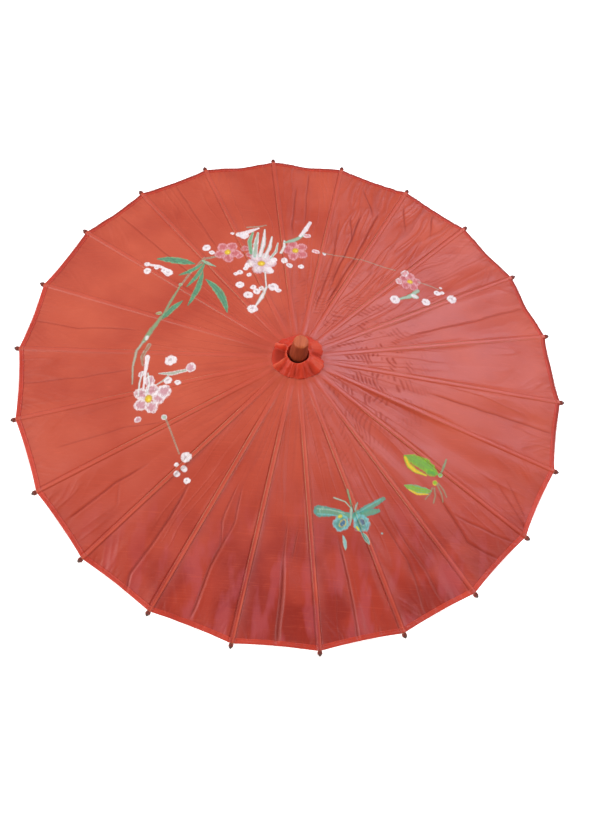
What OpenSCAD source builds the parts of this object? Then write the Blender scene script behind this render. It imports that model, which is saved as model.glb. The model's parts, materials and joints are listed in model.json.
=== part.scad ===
// Cloth parasol on a bamboo frame that folds.
// Origin: middle of the grip's flat lower end. +Z runs up the shaft to the head.

/* [Size] */
// Overall length from the grip's end to the top of the head
overall_length = 540; // [520:5:580]
// Distance from the shaft's axis to the rib tips when open
rim_radius = 410; // [395:5:420]
// Angle of the open ribs below horizontal, in degrees
rib_slope = 8; // [8:0.5:9]

/* [Frame] */
// Number of ribs
rib_count = 22; // [22]
// Distance from a rib's hinge to its mid joint, equal to the stretcher's length
link_length = 185; // [180:1:188]
// Radius of the two wire rings that the ribs and stretchers hinge on
hinge_radius = 18; // [18:0.5:19]
// Angle between a closed rib and the shaft, in degrees, which the rib slots leave room for
closed_angle = 3; // [3:0.5:4]
// Thickness of the thin ends of ribs and stretchers
tenon_thickness = 2.2; // [2:0.1:2.2]
// Width of a rib at its mid joint
rib_width = 5.4; // [5.2:0.1:5.6]

/* [Shaft] */
// Radius of the wooden pole
shaft_radius = 6.5; // [6:0.1:6.5]
// Radius of the grip
grip_radius = 10; // [9:0.5:12]
// Length of the grip
grip_length = 78; // [74:1:80]

/* [Cloth] */
// Thickness of the canopy
cloth_thickness = 0.4; // [0.3:0.1:0.6]
// Width of the sewn hem
hem_width = 6; // [5:1:7]
// Outer radius of the gathered collar
cap_radius = 36; // [34:1:38]

/* [Hidden] */
$fn = 48;
function two_digits(k) = str(k < 10 ? "0" : "", k);
function rib_azimuth(k) = (k - 1) * 360 / rib_count;

// Clearances: a moving joint, and two pieces fixed to each other
running_gap = 0.1;
seat_gap = 0.05;
slot_gap = 0.2;
cut = 1;

// Head and top notch, heights from the ribs' hinge plane
head_height = 50;
notch_bottom = -6;
notch_roof = 3.2;
notch_shoulder = 5.4;
neck_radius = 10.5;
neck_top = 14;
head_base_radius = 13;
head_belt_top = 20;
head_top_radius = 10.5;
head_round = 3;
hub_radius = hinge_radius + 3;
slot_root = hinge_radius - 3.3;
socket_depth = 34;
hinge_z = overall_length - head_height;

// Wires and pins
wire_radius = 0.6;
wire_groove = wire_radius + seat_gap;
wire_hole = wire_radius + 0.15;
mid_pin_radius = 0.8;
cross_pin_radius = 1;
notch_pin_radius = 1.25;
stop_pin_length = 20;

// Ribs and stretchers, measured along and across their own centre line
rib_length = (rim_radius - hinge_radius) / cos(rib_slope);
rib_half_depth = 2.8;
rib_outer_half_depth = 1.6;
rib_tip_half_depth = 0.6;
rib_slot_roof = 2.2;
rib_slot_inward = 19;
rib_slot_outward = 40;
tenon_length = 12;
tip_half_width = 2.3;
tip_round = 2;
thread_radius = 0.4;
thread_hole = 1;
thread_inset = 4;
stretcher_half_depth = 2.2;
stretcher_end_radius = 1.9;
stretcher_half_width = 1.5;
stretcher_thin_length = 50;

// Runner, heights from the stretchers' hinge plane
runner_z = hinge_z - 2 * link_length * sin(rib_slope);
runner_top = 5;
runner_floor = -2.6;
runner_flange = -4.4;
runner_bottom = -36;
runner_sleeve_radius = 11;
runner_flare_bottom = -13;

// Catch, heights from its own pin
catch_height = 46;
catch_nose = 9.3;
catch_inner = 1.5;
catch_thickness = 1.6;
catch_foot_radius = 2.6;
catch_nose_drop = 8;
catch_slot_width = 2;
catch_slot_back = -3.6;
catch_pin_z = runner_z + runner_bottom - catch_height - 0.4;
stop_pin_z = runner_z + runner_top + cross_pin_radius + 0.5;

// Grip
grip_socket_bottom = 24;
grip_chamfer = 2;
grip_straight_top = 62;
grip_groove_depth = 0.8;
grip_shoulder_radius = 8;

// Cloth: the canopy's underside clears the ribs' tops
cloth_gap = 0.3;
cloth_rise = (rib_half_depth + cloth_gap) / cos(rib_slope);
canopy_edge = rim_radius - 8 - hem_width;
canopy_lift_radius = 40;
canopy_inner_radius = neck_radius + 0.4;
hem_gap = 0.2;
hem_thickness = 1;
cap_bottom_gap = 1;
cap_height = 9;
cap_inner_radius = 14.5;
tie_radius = 1.1;

function rib_line_z(r) = hinge_z - (r - hinge_radius) * tan(rib_slope);
function under_cloth_z(r) = rib_line_z(r) + cloth_rise;
function arc(x, y, r, from, to, steps = 8) =
    [for (i = [0:steps]) let (a = from + (to - from) * i / steps) [x + r * cos(a), y + r * sin(a)]];
function mirrored(profile) =
    concat(profile, [for (i = [len(profile) - 1:-1:0]) [profile[i][0], -profile[i][1]]]);

// Places: a rib's vertical plane, a rib's own line, and a stretcher's own line
module at_azimuth(k) {
    rotate([0, 0, rib_azimuth(k)]) children();
}

module on_rib_line(k) {
    at_azimuth(k) translate([hinge_radius, 0, hinge_z]) rotate([0, rib_slope, 0]) children();
}

module on_stretcher_line(k) {
    at_azimuth(k) translate([hinge_radius, 0, runner_z]) rotate([0, -rib_slope, 0]) children();
}

// An outline in the vertical plane, given a thickness across it
module upright(thickness) {
    rotate([90, 0, 0]) linear_extrude(thickness, center = true) children();
}

module cross_hole(x, z, radius, length) {
    translate([x, 0, z]) rotate([90, 0, 0]) cylinder(h = length, r = radius, center = true);
}

module pin_along_x(radius, length, z) {
    translate([0, 0, z]) rotate([0, 90, 0]) cylinder(h = length, r = radius, center = true);
}

// A closed section carried round the axis with flat sides from rib to rib
module flat_sided_ring(section) {
    m = len(section);
    points = [
        for (k = [1:rib_count])
            for (p = section) [p[0] * cos(rib_azimuth(k)), p[0] * sin(rib_azimuth(k)), p[1]]
    ];
    faces = [
        for (k = [0:rib_count - 1])
            for (j = [0:m - 1])
                let (next = (k + 1) % rib_count, up = (j + 1) % m)
                    [k * m + j, next * m + j, next * m + up, k * m + up]
    ];
    polyhedron(points, faces, convexity = 4);
}

module wire_ring(z) {
    translate([0, 0, z]) rotate_extrude() translate([hinge_radius, 0]) circle(wire_radius, $fn = 24);
}

// The groove that a wire ring lies in, open outwards
module wire_channel() {
    rotate_extrude() translate([hinge_radius, 0]) circle(wire_groove, $fn = 24);
    difference() {
        cylinder(h = 2 * wire_groove, r = hub_radius + cut, center = true);
        cylinder(h = 4 * wire_groove, r = hinge_radius, center = true);
    }
}

module radial_slots(bottom, top) {
    width = tenon_thickness + 2 * slot_gap;
    for (k = [1:rib_count]) at_azimuth(k)
        translate([slot_root, -width / 2, bottom]) cube([hub_radius - slot_root + cut, width, top - bottom]);
}

module top_notch() {
    outline = concat(
        [[0, notch_bottom], [hub_radius, notch_bottom], [hub_radius, notch_shoulder - 1]],
        [[hub_radius - 1, notch_shoulder], [neck_radius, notch_shoulder], [neck_radius, neck_top]],
        [[head_base_radius, neck_top], [head_base_radius, head_belt_top]],
        arc(head_top_radius - head_round, head_height - head_round, head_round, 0, 90),
        [[0, head_height]]
    );
    color("peru") translate([0, 0, hinge_z]) difference() {
        rotate_extrude() polygon(outline);
        translate([0, 0, notch_bottom - cut])
            cylinder(h = socket_depth - notch_bottom + cut, r = shaft_radius + seat_gap);
        radial_slots(notch_bottom - cut, notch_roof);
        wire_channel();
        pin_along_x(notch_pin_radius + seat_gap, 2 * head_base_radius + cut, (neck_top + head_belt_top) / 2);
    }
}

module notch_pin() {
    color("burlywood")
        pin_along_x(notch_pin_radius, 2 * head_base_radius - cut, hinge_z + (neck_top + head_belt_top) / 2);
}

module notch_wire() {
    color("silver") wire_ring(hinge_z);
}

module shaft() {
    color("burlywood") difference() {
        translate([0, 0, grip_socket_bottom + seat_gap])
            cylinder(h = hinge_z + socket_depth - grip_socket_bottom - 2 * seat_gap, r = shaft_radius);
        translate([-catch_slot_width / 2, catch_slot_back, catch_pin_z - catch_foot_radius - 1])
            cube([catch_slot_width, 2 * shaft_radius, catch_height + catch_foot_radius + 3]);
        pin_along_x(cross_pin_radius + seat_gap, 2 * shaft_radius + cut, catch_pin_z);
        pin_along_x(cross_pin_radius + seat_gap, 2 * shaft_radius + cut, stop_pin_z);
        pin_along_x(notch_pin_radius + seat_gap, 2 * shaft_radius + cut, hinge_z + (neck_top + head_belt_top) / 2);
    }
}

module grip() {
    groove = [for (z = [66, 70]) each [
        [grip_radius, z - grip_groove_depth], [grip_radius - grip_groove_depth, z],
        [grip_radius, z + grip_groove_depth]
    ]];
    outline = concat(
        [[0, 0], [grip_radius - grip_chamfer, 0], [grip_radius, grip_chamfer], [grip_radius, grip_straight_top]],
        groove,
        [[grip_radius, grip_length - 5], [grip_shoulder_radius, grip_length], [0, grip_length]]
    );
    color("peru") difference() {
        rotate_extrude() polygon(outline);
        translate([0, 0, grip_socket_bottom]) cylinder(h = grip_length, r = shaft_radius + seat_gap);
    }
}

module stop_pin() {
    color("burlywood") pin_along_x(cross_pin_radius, stop_pin_length, stop_pin_z);
}

module catch_pin() {
    color("silver") pin_along_x(cross_pin_radius, 2 * shaft_radius - cut, catch_pin_z);
}

// A leaf that stands out of the shaft under the runner and tips back into its slot
module catch() {
    outline = concat(
        arc(0, 0, catch_foot_radius, 180, 360),
        [[catch_nose, catch_height - catch_nose_drop], [catch_nose, catch_height], [catch_inner, catch_height]]
    );
    color("silver") translate([0, 0, catch_pin_z]) difference() {
        rotate([90, 0, 90]) linear_extrude(catch_thickness, center = true) polygon(outline);
        pin_along_x(cross_pin_radius + running_gap, 2 * shaft_radius, 0);
    }
}

module runner() {
    outline = [
        [0, runner_bottom], [runner_sleeve_radius - 1, runner_bottom],
        [runner_sleeve_radius, runner_bottom + 1], [runner_sleeve_radius, runner_flare_bottom],
        [hub_radius - 4, runner_flange - 2], [hub_radius, runner_flange], [hub_radius, runner_top],
        [0, runner_top]
    ];
    color("peru") translate([0, 0, runner_z]) difference() {
        rotate_extrude() polygon(outline);
        translate([0, 0, runner_bottom - cut])
            cylinder(h = runner_top - runner_bottom + 2 * cut, r = shaft_radius + running_gap);
        radial_slots(runner_floor, runner_top + cut);
        wire_channel();
    }
}

module runner_wire() {
    color("silver") wire_ring(runner_z);
}

// Rib: a long tapered strip with a thin hinge end, a slot for its stretcher, and a holed tip
module rib(k) {
    mid = link_length;
    side = concat(
        arc(0, 0, rib_half_depth, 90, 270),
        [[mid - 5, -rib_half_depth], [mid + 10, -rib_outer_half_depth], [rib_length, -rib_tip_half_depth]],
        [[rib_length, rib_half_depth]]
    );
    half_plan = concat(
        [[-rib_half_depth - cut, tenon_thickness / 2], [tenon_length, tenon_thickness / 2], [30, 1.9]],
        [[110, rib_width / 2], [mid + rib_slot_outward + 10, rib_width / 2]],
        [[rib_length - tip_round, tip_half_width], [rib_length, tip_half_width - tip_round]]
    );
    slot_width = tenon_thickness + 2 * slot_gap;
    color("burlywood") on_rib_line(k) {
        difference() {
            intersection() {
                upright(rib_width) polygon(side);
                translate([0, 0, -rib_half_depth - cut])
                    linear_extrude(2 * (rib_half_depth + cut)) polygon(mirrored(half_plan));
            }
            translate([mid - rib_slot_inward, -slot_width / 2, -rib_half_depth - cut])
                cube([rib_slot_inward + rib_slot_outward, slot_width, rib_half_depth + cut + rib_slot_roof]);
            cross_hole(0, 0, wire_hole, rib_width);
            cross_hole(mid, 0, mid_pin_radius + seat_gap, rib_width + cut);
            cross_hole(rib_length - thread_inset, (rib_half_depth - rib_tip_half_depth) / 2, thread_hole, rib_width);
        }
        cross_hole(mid, 0, mid_pin_radius, rib_width - 0.4);
    }
}

module stretcher(k) {
    side = concat(
        arc(0, 0, stretcher_half_depth, 90, 270),
        [[link_length - 20, -stretcher_half_depth]],
        arc(link_length, 0, stretcher_end_radius, -90, 90),
        [[link_length - 20, stretcher_half_depth]]
    );
    half_plan = [
        [-stretcher_half_depth - cut, tenon_thickness / 2], [tenon_length, tenon_thickness / 2],
        [30, stretcher_half_width], [link_length - stretcher_thin_length - 15, stretcher_half_width],
        [link_length - stretcher_thin_length, tenon_thickness / 2],
        [link_length + stretcher_end_radius + cut, tenon_thickness / 2]
    ];
    color("tan") on_stretcher_line(k) difference() {
        intersection() {
            upright(2 * stretcher_half_width + cut) polygon(side);
            translate([0, 0, -stretcher_half_depth - cut])
                linear_extrude(2 * (stretcher_half_depth + cut)) polygon(mirrored(half_plan));
        }
        cross_hole(0, 0, wire_hole, 2 * stretcher_half_width + cut);
        cross_hole(link_length, 0, mid_pin_radius + running_gap, 2 * stretcher_half_width + cut);
    }
}

// The cover: up over the notch's shoulder, then straight down the ribs, flat between them
module canopy() {
    shoulder_z = hinge_z + notch_shoulder + cloth_gap;
    under = [
        [canopy_inner_radius, shoulder_z], [hub_radius + 1, shoulder_z],
        [canopy_lift_radius, under_cloth_z(canopy_lift_radius)], [canopy_edge, under_cloth_z(canopy_edge)]
    ];
    over = [for (i = [len(under) - 1:-1:0]) under[i] + [0, cloth_thickness]];
    color("firebrick") flat_sided_ring(concat(under, over));
}

module rim_hem() {
    inner = canopy_edge + hem_gap;
    outer = canopy_edge + hem_width;
    color("crimson") flat_sided_ring([
        [inner, under_cloth_z(inner)], [outer, under_cloth_z(outer)],
        [outer, under_cloth_z(outer) + hem_thickness], [inner, under_cloth_z(inner) + hem_thickness]
    ]);
}

module rim_thread() {
    along = rib_length - thread_inset;
    across = (rib_half_depth - rib_tip_half_depth) / 2;
    r = hinge_radius + along * cos(rib_slope) + across * sin(rib_slope);
    z = hinge_z - along * sin(rib_slope) + across * cos(rib_slope);
    color("wheat") flat_sided_ring([for (a = [0:45:315]) [r + thread_radius * cos(a), z + thread_radius * sin(a)]]);
}

// The gathered collar, as one soft ring round the neck
module crown_cap() {
    bottom = notch_shoulder + cloth_gap + cloth_thickness + cap_bottom_gap;
    outline = concat(
        [[cap_inner_radius, bottom], [hub_radius + 2, bottom], [cap_radius, bottom - 4.5]],
        arc(cap_radius - 2, bottom - 2.5, 2, 0, 60, 4),
        arc(cap_inner_radius + 3, bottom + cap_height - 3, 3, 60, 180, 6)
    );
    color("red") translate([0, 0, hinge_z]) rotate_extrude() polygon(outline);
}

module cap_tie() {
    tie_z = hinge_z + notch_shoulder + cloth_gap + cloth_thickness + tie_radius + cloth_gap;
    color("darkred") translate([0, 0, tie_z])
        rotate_extrude() translate([neck_radius + tie_radius + seat_gap, 0]) circle(tie_radius, $fn = 24);
}

shaft();
grip();
top_notch();
notch_pin();
notch_wire();
stop_pin();
catch_pin();
cap_tie();
canopy();
rim_hem();
rim_thread();
crown_cap();
runner();
runner_wire();
catch();
for (k = [1:rib_count]) {
    rib(k);
    stretcher(k);
}
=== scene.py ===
import json
from math import atan2, cos, degrees, exp, pi, radians, sin, tan

import bpy
import numpy as np
from mathutils import Matrix, Vector

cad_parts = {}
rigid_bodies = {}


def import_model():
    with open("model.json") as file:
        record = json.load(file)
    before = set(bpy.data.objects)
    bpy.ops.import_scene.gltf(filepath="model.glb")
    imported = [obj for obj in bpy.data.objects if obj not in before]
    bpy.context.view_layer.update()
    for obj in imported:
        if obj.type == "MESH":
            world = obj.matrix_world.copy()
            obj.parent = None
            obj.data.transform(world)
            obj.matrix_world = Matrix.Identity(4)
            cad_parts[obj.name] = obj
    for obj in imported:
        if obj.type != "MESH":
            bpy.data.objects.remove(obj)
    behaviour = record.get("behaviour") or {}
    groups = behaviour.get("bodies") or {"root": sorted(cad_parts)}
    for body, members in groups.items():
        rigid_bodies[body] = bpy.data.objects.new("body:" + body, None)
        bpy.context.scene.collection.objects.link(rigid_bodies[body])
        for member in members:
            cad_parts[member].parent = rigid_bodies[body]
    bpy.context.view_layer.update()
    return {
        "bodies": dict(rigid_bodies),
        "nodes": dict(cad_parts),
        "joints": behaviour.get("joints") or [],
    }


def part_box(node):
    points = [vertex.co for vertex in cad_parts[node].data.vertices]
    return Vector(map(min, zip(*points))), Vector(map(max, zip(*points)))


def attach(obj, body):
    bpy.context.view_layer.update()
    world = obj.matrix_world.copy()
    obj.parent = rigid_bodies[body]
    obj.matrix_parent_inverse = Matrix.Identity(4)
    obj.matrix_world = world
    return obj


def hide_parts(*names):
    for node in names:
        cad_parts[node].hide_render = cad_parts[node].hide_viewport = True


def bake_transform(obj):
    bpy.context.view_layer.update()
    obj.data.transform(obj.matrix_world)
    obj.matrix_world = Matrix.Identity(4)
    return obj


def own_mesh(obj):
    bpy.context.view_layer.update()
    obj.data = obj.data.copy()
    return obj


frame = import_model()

# Lengths are in mm until a mesh is made, and angles in radians.
MM = 0.001

# The frame's sizes: rib 01 lies along X.
joints = {j["name"]: j for j in frame["joints"]}
RIBS = sum(1 for name in frame["bodies"] if name.startswith("rib_"))
STEP = 2 * pi / RIBS
TAN_HALF = tan(STEP / 2)
hinge = np.array(joints["rib_01_fold"]["pos_m"]) / MM
middle = np.array(joints["stretcher_01_pivot"]["pos_m"]) / MM
HINGE_R, HINGE_Z = hinge[0], hinge[2]
SLOPE = atan2(hinge[2] - middle[2], middle[0] - hinge[0])
TIP_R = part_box("rib_01")[1][0] / MM
RIB_TOP = 2.8  # from a rib's middle line up to its top face

# The cloth's sizes
STRIP = 2.9  # half the width of the strip over a rib
NECK_R = 10.9  # where the cloth is tied
SHOULDER = 5.9  # the cloth's height over the hinges beside the tie
PANEL_IN = 26.0  # where the half panels start
HEM_IN, HEM_OUT = TIP_R - 14.2, TIP_R - 7.4
HEM = HEM_OUT - HEM_IN


def half_name(kind, k, side):
    return f"{kind}_{k:02d}_{'left' if side > 0 else 'right'}"


def rib_axes(k):
    """The level directions along rib k and across it."""
    az = (k - 1) * STEP
    return np.array([cos(az), sin(az), 0]), np.array([-sin(az), cos(az), 0])


def in_scene(name, data):
    """A new object in the scene."""
    ob = bpy.data.objects.new(name, data)
    bpy.context.scene.collection.objects.link(ob)
    return ob


# ---- numbers


def smooth(x, low, high):
    x = np.clip((x - low) / (high - low), 0, 1)
    return x * x * (3 - 2 * x)


def together(*values):
    """Numbers or arrays as float arrays of one shape."""
    return np.broadcast_arrays(*(np.asarray(v, float) for v in values))


def lattice(ix, iy, seed):
    h = (ix * 374761393 + iy * 668265263 + seed * 974634777) & 0xFFFFFFFF
    h = ((h ^ (h >> 13)) * 1274126177) & 0xFFFFFFFF
    return ((h ^ (h >> 16)) & 0xFFFF) / 65535.0


def noise(x, y, seed=0):
    """Smooth value noise from -1 to 1, one cell to the unit."""
    x, y = together(x, y)
    ix, iy = np.floor(x).astype(np.int64), np.floor(y).astype(np.int64)
    fx, fy = x - ix, y - iy
    fx, fy = fx**3 * (fx * (fx * 6 - 15) + 10), fy**3 * (fy * (fy * 6 - 15) + 10)
    seed = np.asarray(seed).astype(np.int64)
    a, b = lattice(ix, iy, seed), lattice(ix + 1, iy, seed)
    c, d = lattice(ix, iy + 1, seed), lattice(ix + 1, iy + 1, seed)
    return 2 * (a + (b - a) * fx + (c - a) * fy + (a - b - c + d) * fx * fy) - 1


def crease(n, width):
    """A thin ridge along the lines where n is 0."""
    return np.exp(-((n / width) ** 2))


# ---- the cover's shape


def crown_line(r):
    """Height over the hinge plane of the cloth along a rib, from the neck outwards."""

    def straight(r):
        return -(r - HINGE_R) * tan(SLOPE) + (RIB_TOP + 0.25) / cos(SLOPE)

    start, end = 19.0, 46.0
    h = end - start
    u = np.clip((r - start) / h, 0, 1)
    curve = SHOULDER * (2 * u**3 - 3 * u**2 + 1) + straight(end) * (3 * u**2 - 2 * u**3)
    curve -= tan(SLOPE) * h * (u**3 - u**2)
    return np.where(r < start, SHOULDER, np.where(r < end, curve, straight(r)))


# Creases that have set in the cloth: depth and half width, then the path as (place in panels, radius)
CREASES = (
    (1.5, 1.5, (14.4, 240), (14.52, 290), (14.55, 340), (14.56, 380), (14.66, 402)),
    (1.8, 1.6, (15.5, 275), (15.45, 320), (15.46, 390)),
    (0.8, 1.2, (15.42, 205), (15.55, 250), (15.5, 282)),
    (0.8, 1.2, (15.3, 200), (15.32, 260), (15.46, 286)),
    (2.6, 2.2, (16.51, 285), (16.53, 330), (16.51, 396)), (0.8, 1.2, (16.54, 235), (16.51, 290)),
    (0.8, 1.2, (16.77, 240), (16.66, 284)), (1.5, 1.6, (17.5, 265), (17.51, 320), (17.47, 400)),
    (0.9, 1.5, (18.38, 250), (18.47, 320), (18.36, 390)),
    (0.9, 1.4, (18.56, 270), (18.62, 340), (18.6, 385)),
    (1.3, 1.5, (19.56, 275), (19.38, 350), (19.52, 392)), (0.8, 1.4, (19.53, 310), (19.84, 400)),
    (1.2, 1.4, (20.07, 370), (20.02, 408)), (1.0, 1.4, (20.24, 380), (20.03, 408)),
    (0.8, 1.4, (20.42, 335), (20.05, 408)), (0.9, 1.4, (20.55, 345), (20.23, 392)),
    (1.0, 1.3, (4.38, 250), (4.63, 302)), (1.2, 1.5, (4.44, 150), (4.44, 230), (4.46, 312)),
    (1.2, 1.5, (4.23, 120), (4.18, 210), (4.2, 330)), (0.8, 1.4, (4.66, 95), (4.68, 200), (4.82, 285)),
    (1.0, 1.4, (4.24, 318), (4.38, 342), (4.58, 372)), (0.9, 1.4, (5.77, 240), (5.67, 345)),
    (0.8, 1.4, (5.5, 270), (5.47, 382)), (1.0, 1.5, (3.24, 345), (3.46, 385)),
    (1.0, 1.4, (3.64, 325), (3.91, 372)), (0.9, 1.4, (9.91, 215), (10.02, 310), (10.06, 400)),
    (0.6, 1.2, (10.43, 235), (10.58, 330), (10.56, 395)),
    (0.5, 1.2, (11.42, 235), (11.49, 310), (11.5, 392)),
    (0.5, 1.2, (12.92, 205), (12.66, 260), (12.55, 355)),
    (1.1, 1.4, (13.51, 262), (13.47, 310), (13.51, 385)), (0.8, 1.3, (13.47, 304), (13.76, 325)),
    (0.5, 1.3, (8.52, 210), (8.47, 390)), (0.5, 1.3, (7.55, 240), (7.5, 395)),
    (0.6, 1.3, (21.6, 200), (21.52, 392)), (0.6, 1.3, (1.42, 180), (1.5, 390)),
)


def panel_folds(rv, u, panel, azimuth):
    """Height of the folds between two ribs, and the painted shade in them. u runs from -1 at one rib to 1 at
    the next.

    A fold is a noise or its creases, with wavelengths in mm, and fades in and out along the rib.
    """
    half = crease_t(rv)
    across = u * half
    seed = panel * 17 + 3
    edge = smooth(1 - np.abs(u), 0.02, 0.30)
    wide = smooth(half, 6, 30)
    right = 0.5 + 0.5 * cos(azimuth - 0.2)
    front = exp(-(((azimuth - 5.2) / 0.8) ** 2))
    crumpled = exp(-(((azimuth - 1.15) / 0.45) ** 2))
    bend = 0.35 * noise(rv / 55, across / 26, seed + 5)
    billow = (1.0 + 0.9 * right + front) * noise(rv / 110, across / 38 + 7, seed)
    billow += (0.5 + 0.6 * front) * noise(rv / 42, across / 18, seed + 1)
    folds = crease(noise(across / 15 + bend, rv / 230, seed + 2), 0.10)
    folds *= smooth(noise(rv / 90, 5.5, seed + 7), -0.5, 0.3)
    waves = crease(noise(across / 7 + 2.5 * bend, rv / 60, seed + 8), 0.22) * crumpled * smooth(rv, 90, 150)
    fine = crease(noise(across / 6, rv / 120 + 3, seed + 3), 0.18) * smooth(rv, 260, 100)
    slant = (rv + 0.55 * across) / 7.6 + 0.9 * noise(rv / 42, across / 16, seed + 4)
    pucker = crease(slant % 1 - 0.5, 0.19) * smooth(rv, 46, 66) * smooth(rv, 230, 120)
    pucker *= smooth(noise(rv / 13, across / 7 + 8.5, seed + 9), -0.1, 0.45)
    tension = crease(noise((rv + 1.7 * np.abs(across)) / 15, across / 40 + 2, seed + 6), 0.2)
    tension *= smooth(rv, 300, 385)
    hem_pucker = crease(noise(across / 5, rv / 60, seed + 10), 0.3) * smooth(rv, 372, 398)
    height = wide * billow + 0.45 * folds * wide + 0.8 * waves - 0.30 * fine
    height -= (0.04 + 0.48 * right**2) * pucker
    height = height + 0.45 * tension * smooth(np.abs(u), 0.05, 0.6) - 0.35 * hem_pucker
    # Painted shade in the creases, puckers and waves, and beside the hem.
    dark = 0.22 * fine + (0.04 + 0.76 * right**2) * pucker
    dark = dark + 0.25 * waves + 0.22 * hem_pucker + 0.10 * folds * wide
    for depth, width, *path in CREASES:
        if int(path[0][0]) != panel:
            continue
        places, radii = np.array(path).T
        centre = (2 * (np.interp(rv, radii, places) - panel) - 1) * half
        gap = across - centre + 0.9 * noise(rv / 22, depth * 9, seed)
        span = smooth(rv, radii[0] - 10, radii[0] + 25) * smooth(rv, radii[-1] + 8, radii[-1] - 8)
        ridge = 0.22 * crease(gap - 2.6 * width, 1.8 * width)
        height += depth * span * (ridge - crease(gap, width))
        # Painted shade along the crease.
        dark += min(1.0, 0.3 + 0.5 * depth) * span * crease(gap, 0.85 * width)
    return edge * height, edge * dark


def crease_t(rv):
    """Distance across from a rib to the crease in the middle of a panel."""
    return rv * TAN_HALF / (1 + TAN_HALF * TAN_HALF)


def folds_at(k, side, rv, t):
    """The panel's folds at t across from rib k. Panel 0 lies between ribs 01 and 02."""
    panel = (k - 1) % RIBS if side > 0 else (k - 2) % RIBS
    v = np.clip(t / np.maximum(crease_t(rv), 1e-6), 0, 1)
    return panel_folds(rv, v - 1 if side > 0 else 1 - v, panel, (panel + 0.5) * STEP)


def tucked(az, side):
    """How far the cloth is tucked in beside a rib on the side +1 or -1, from 0 to 1."""
    return min(1.0, max(0.0, side * (sin(az) + 0.25 * cos(az))))


def cloth_point(k, side, along, t):
    """A point on the cover's upper face: along rib k in plan and t across it, on the side +1 or -1."""
    along, t = together(along, t)
    az = (k - 1) * STEP
    rv = along + t * TAN_HALF
    room = smooth(crease_t(rv), STRIP + 0.6, 17)
    tuck = 0.12 + 1.1 * tucked(az, side)
    here = az + side * np.arctan2(t, along)
    ledge = 1.0 + 0.8 * smooth(-np.sin(here), 0.1, 0.9)
    drop = room * (ledge * smooth(t, STRIP - 0.9, STRIP + 1.8) + tuck * crease(t - STRIP - 0.7, 0.8))
    valley = 0.034 * np.maximum(t - STRIP - 2, 0) * room
    z = crown_line(rv) - drop - valley
    z += folds_at(k, side, rv, t)[0] * smooth(t, STRIP, STRIP + 3)
    gathers = noise(9 * np.cos(here) + 40, 9 * np.sin(here) + rv / 90, 5)
    z += 0.35 * gathers * smooth(rv, 70, 24)
    x = along * cos(az) - side * t * sin(az)
    y = along * sin(az) + side * t * cos(az)
    return np.stack([x, y, z + HINGE_Z], -1)


def fold_shade(k, side, along, t):
    """Painted light at a point: above 0 painted shade, in the folds and beside the rib; below 0 a painted
    highlight by the rib.
    """
    along, t = together(along, t)
    az = (k - 1) * STEP
    rv = along + t * TAN_HALF
    dark = folds_at(k, side, rv, t)[1] * smooth(t, STRIP, STRIP + 3)
    wear_and_sheen = 0.75 + 0.5 * noise(rv / 35, 3.5 + side, k)
    reach = smooth(rv, 45, 190)
    front = smooth(-sin(az), 0.2, 0.9)
    tuck = tucked(az, side) * (0.55 + 0.45 * front)
    # Painted shade: a dark line just beside the rib's strip, on the side where the cloth is tucked in,
    # strongest toward the front.
    dark += (0.03 + 0.85 * tuck) * wear_and_sheen * reach * crease(t - STRIP - 0.2, 1.15)
    # Painted highlight on and beside the strip on the other side, toward the front.
    lit_side = tucked(az, -side) * front * wear_and_sheen * reach
    painted_highlight = lit_side * (0.8 * smooth(t, STRIP + 0.4, STRIP - 1.0) + 0.55 * smooth(t, STRIP, STRIP + 1.5)
                     * np.exp(-np.maximum(t - STRIP, 0) / 6))
    return np.clip(dark - painted_highlight, -1, 1)


def panel_point(k, side, rv, share):
    """A point of a half panel: share runs from 0 beside the rib's strip to 1 at the crease."""
    return cloth_point(k, side, *panel_place(rv, share))


def panel_place(rv, share):
    """The same place as (along, t). The rim sags inwards between the ribs."""
    rv, share = together(rv, share)
    inner = np.clip((rv - 300) / (HEM_IN - 300), 0, 1.2)
    rv = rv - 1.6 * (1 - (1 - share) ** 2) * inner**2
    t = STRIP + (crease_t(rv) - STRIP) * share
    return rv - t * TAN_HALF, t


# ---- meshes


def grid_faces(rows, columns, closed=False):
    """The faces of a grid of points, closed round its columns or open."""
    last = columns if closed else columns - 1
    i, j = np.meshgrid(np.arange(rows - 1), np.arange(last), indexing="ij")
    n = (j + 1) % columns
    quads = np.stack([i * columns + j, (i + 1) * columns + j, (i + 1) * columns + n, i * columns + n], -1)
    return quads.reshape(-1, 4)


def outward(points, quads, closed):
    """The faces turned to look out of a closed piece, or up from a sheet."""
    p = points[quads]
    normal = np.cross(p[:, 2] - p[:, 0], p[:, 3] - p[:, 1])
    sense = (normal * (p.mean(1) - points.mean(0))).sum() if closed else normal[:, 2].sum()
    return quads if sense > 0 else quads[:, ::-1]


def make_piece(name, points, quads, material, slot, closed=False):
    """A mesh piece from points in mm and four-cornered faces."""
    mesh = bpy.data.meshes.new(name)
    points = points.reshape(-1, 3) * MM
    quads = np.ascontiguousarray(outward(points, np.asarray(quads, np.int32), closed))
    mesh.vertices.add(len(points))
    mesh.vertices.foreach_set("co", points.ravel())
    mesh.loops.add(quads.size)
    mesh.loops.foreach_set("vertex_index", quads.ravel())
    mesh.polygons.add(len(quads))
    mesh.polygons.foreach_set("loop_start", np.arange(0, quads.size, 4, dtype=np.int32))
    mesh.polygons.foreach_set("use_smooth", np.full(len(quads), True))
    mesh.update(calc_edges=True)
    mesh.validate()
    mesh.materials.append(material)
    piece = in_scene(name, mesh)
    return piece


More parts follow.
